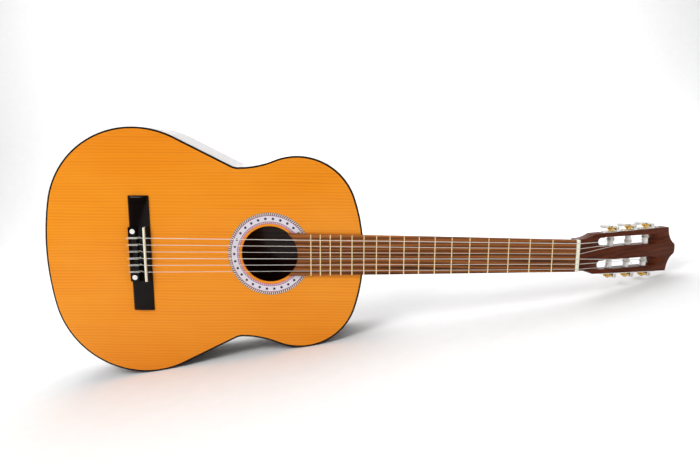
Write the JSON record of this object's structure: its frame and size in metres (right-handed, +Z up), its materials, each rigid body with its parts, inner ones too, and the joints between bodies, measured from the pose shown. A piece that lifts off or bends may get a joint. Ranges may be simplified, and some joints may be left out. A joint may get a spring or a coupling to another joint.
{
  "type": "classical guitar",
  "caption": "Full-size nylon-string classical guitar with round sound hole, ring rosette, slotted headstock and worm-geared tuning machines.",
  "frame": {"origin": "middle of the bounding box at floor level; the guitar stands on its treble-side ribs", "axes": "+X towards the headstock, -Y out of the face, +Z up; the neck leans 10.0 degrees down towards the headstock"},
  "size_m": [0.9999, 0.1106, 0.3863],
  "materials": {
    "spruce_top": "gloss",
    "body_back": "gloss",
    "binding_black": "gloss",
    "rosette_inlay": "gloss",
    "neck_wood": "gloss",
    "rosewood": "satin",
    "fret_brass": "polished",
    "ivory_plastic": "satin",
    "ebonised_wood": "gloss",
    "pearl_plastic": "gloss",
    "nickel": "polished",
    "nylon_treble": "gloss",
    "nylon_bass": "polished",
    "white_plastic": "satin",
    "gear_brass": "polished",
    "inner_wood": "matte"
  },
  "bodies": {
    "guitar_body": {"soundboard": "spruce_top", "back_plate": "body_back", "rib_bass": "body_back", "rib_treble": "body_back", "top_linings": "inner_wood", "back_linings": "inner_wood", "neck_block": "inner_wood", "tail_block": "inner_wood", "fan_braces": "inner_wood", "harmonic_bars": "inner_wood", "back_braces": "inner_wood", "rosette": "rosette_inlay", "top_binding": "binding_black", "back_binding": "binding_black", "neck": "neck_wood", "fretboard": "rosewood", "frets": "fret_brass", "nut": "ivory_plastic", "heel_cap": "binding_black", "bridge": "ebonised_wood", "saddle": "ivory_plastic", "bridge_dots": "pearl_plastic", "bridge_bolts": "nickel", "bridge_nuts": "nickel", "string_1": "nylon_treble", "string_2": "nylon_treble", "string_3": "nylon_treble", "string_4": "nylon_bass", "string_5": "nylon_bass", "string_6": "nylon_bass", "tuner_plate_bass": "nickel", "tuner_plate_treble": "nickel", "plate_screws": "nickel"},
    "tuner_shaft_1": {"worm_1": "nickel", "button_1": "pearl_plastic"},
    "string_roller_1": {"roller_1": "white_plastic", "gear_1": "gear_brass"},
    "tuner_shaft_2": {"worm_2": "nickel", "button_2": "pearl_plastic"},
    "string_roller_2": {"roller_2": "white_plastic", "gear_2": "gear_brass"},
    "tuner_shaft_3": {"worm_3": "nickel", "button_3": "pearl_plastic"},
    "string_roller_3": {"roller_3": "white_plastic", "gear_3": "gear_brass"},
    "tuner_shaft_4": {"worm_4": "nickel", "button_4": "pearl_plastic"},
    "string_roller_4": {"roller_4": "white_plastic", "gear_4": "gear_brass"},
    "tuner_shaft_5": {"worm_5": "nickel", "button_5": "pearl_plastic"},
    "string_roller_5": {"roller_5": "white_plastic", "gear_5": "gear_brass"},
    "tuner_shaft_6": {"worm_6": "nickel", "button_6": "pearl_plastic"},
    "string_roller_6": {"roller_6": "white_plastic", "gear_6": "gear_brass"}
  },
  "joints": [
    {"name": "button_turn_1", "type": "hinge", "parent": "guitar_body", "child": "tuner_shaft_1", "pos_m": [0.37964, -0.00846, 0.02515], "axis": [0.3206, -0.9455, -0.0566], "continuous": true},
    {"name": "roller_turn_1", "type": "hinge", "parent": "guitar_body", "child": "string_roller_1", "pos_m": [0.37223, -0.01106, 0.02671], "axis": [-0.2034, -0.0103, -0.979], "continuous": true},
    {"name": "button_turn_2", "type": "hinge", "parent": "guitar_body", "child": "tuner_shaft_2", "pos_m": [0.41203, 0.00294, 0.0183], "axis": [0.3206, -0.9455, -0.0566], "continuous": true},
    {"name": "roller_turn_2", "type": "hinge", "parent": "guitar_body", "child": "string_roller_2", "pos_m": [0.40463, 0.00033, 0.01986], "axis": [-0.2034, -0.0103, -0.979], "continuous": true},
    {"name": "button_turn_3", "type": "hinge", "parent": "guitar_body", "child": "tuner_shaft_3", "pos_m": [0.44443, 0.01433, 0.01145], "axis": [0.3206, -0.9455, -0.0566], "continuous": true},
    {"name": "roller_turn_3", "type": "hinge", "parent": "guitar_body", "child": "string_roller_3", "pos_m": [0.43703, 0.01173, 0.01301], "axis": [-0.2034, -0.0103, -0.979], "continuous": true},
    {"name": "button_turn_4", "type": "hinge", "parent": "guitar_body", "child": "tuner_shaft_4", "pos_m": [0.45854, 0.01433, 0.09137], "axis": [0.3206, -0.9455, -0.0566], "continuous": true},
    {"name": "roller_turn_4", "type": "hinge", "parent": "guitar_body", "child": "string_roller_4", "pos_m": [0.45105, 0.01173, 0.09244], "axis": [0.1443, -0.0103, 0.9895], "continuous": true},
    {"name": "button_turn_5", "type": "hinge", "parent": "guitar_body", "child": "tuner_shaft_5", "pos_m": [0.42576, 0.00294, 0.09603], "axis": [0.3206, -0.9455, -0.0566], "continuous": true},
    {"name": "roller_turn_5", "type": "hinge", "parent": "guitar_body", "child": "string_roller_5", "pos_m": [0.41827, 0.00033, 0.0971], "axis": [0.1443, -0.0103, 0.9895], "continuous": true},
    {"name": "button_turn_6", "type": "hinge", "parent": "guitar_body", "child": "tuner_shaft_6", "pos_m": [0.39298, -0.00846, 0.1007], "axis": [0.3206, -0.9455, -0.0566], "continuous": true},
    {"name": "roller_turn_6", "type": "hinge", "parent": "guitar_body", "child": "string_roller_6", "pos_m": [0.38549, -0.01106, 0.10176], "axis": [0.1443, -0.0103, 0.9895], "continuous": true}
  ],
  "couplings": [
    {"joint": "roller_turn_1", "follows": "button_turn_1", "ratio": 0.071429},
    {"joint": "roller_turn_2", "follows": "button_turn_2", "ratio": 0.071429},
    {"joint": "roller_turn_3", "follows": "button_turn_3", "ratio": 0.071429},
    {"joint": "roller_turn_4", "follows": "button_turn_4", "ratio": 0.071429},
    {"joint": "roller_turn_5", "follows": "button_turn_5", "ratio": 0.071429},
    {"joint": "roller_turn_6", "follows": "button_turn_6", "ratio": 0.071429}
  ]
}
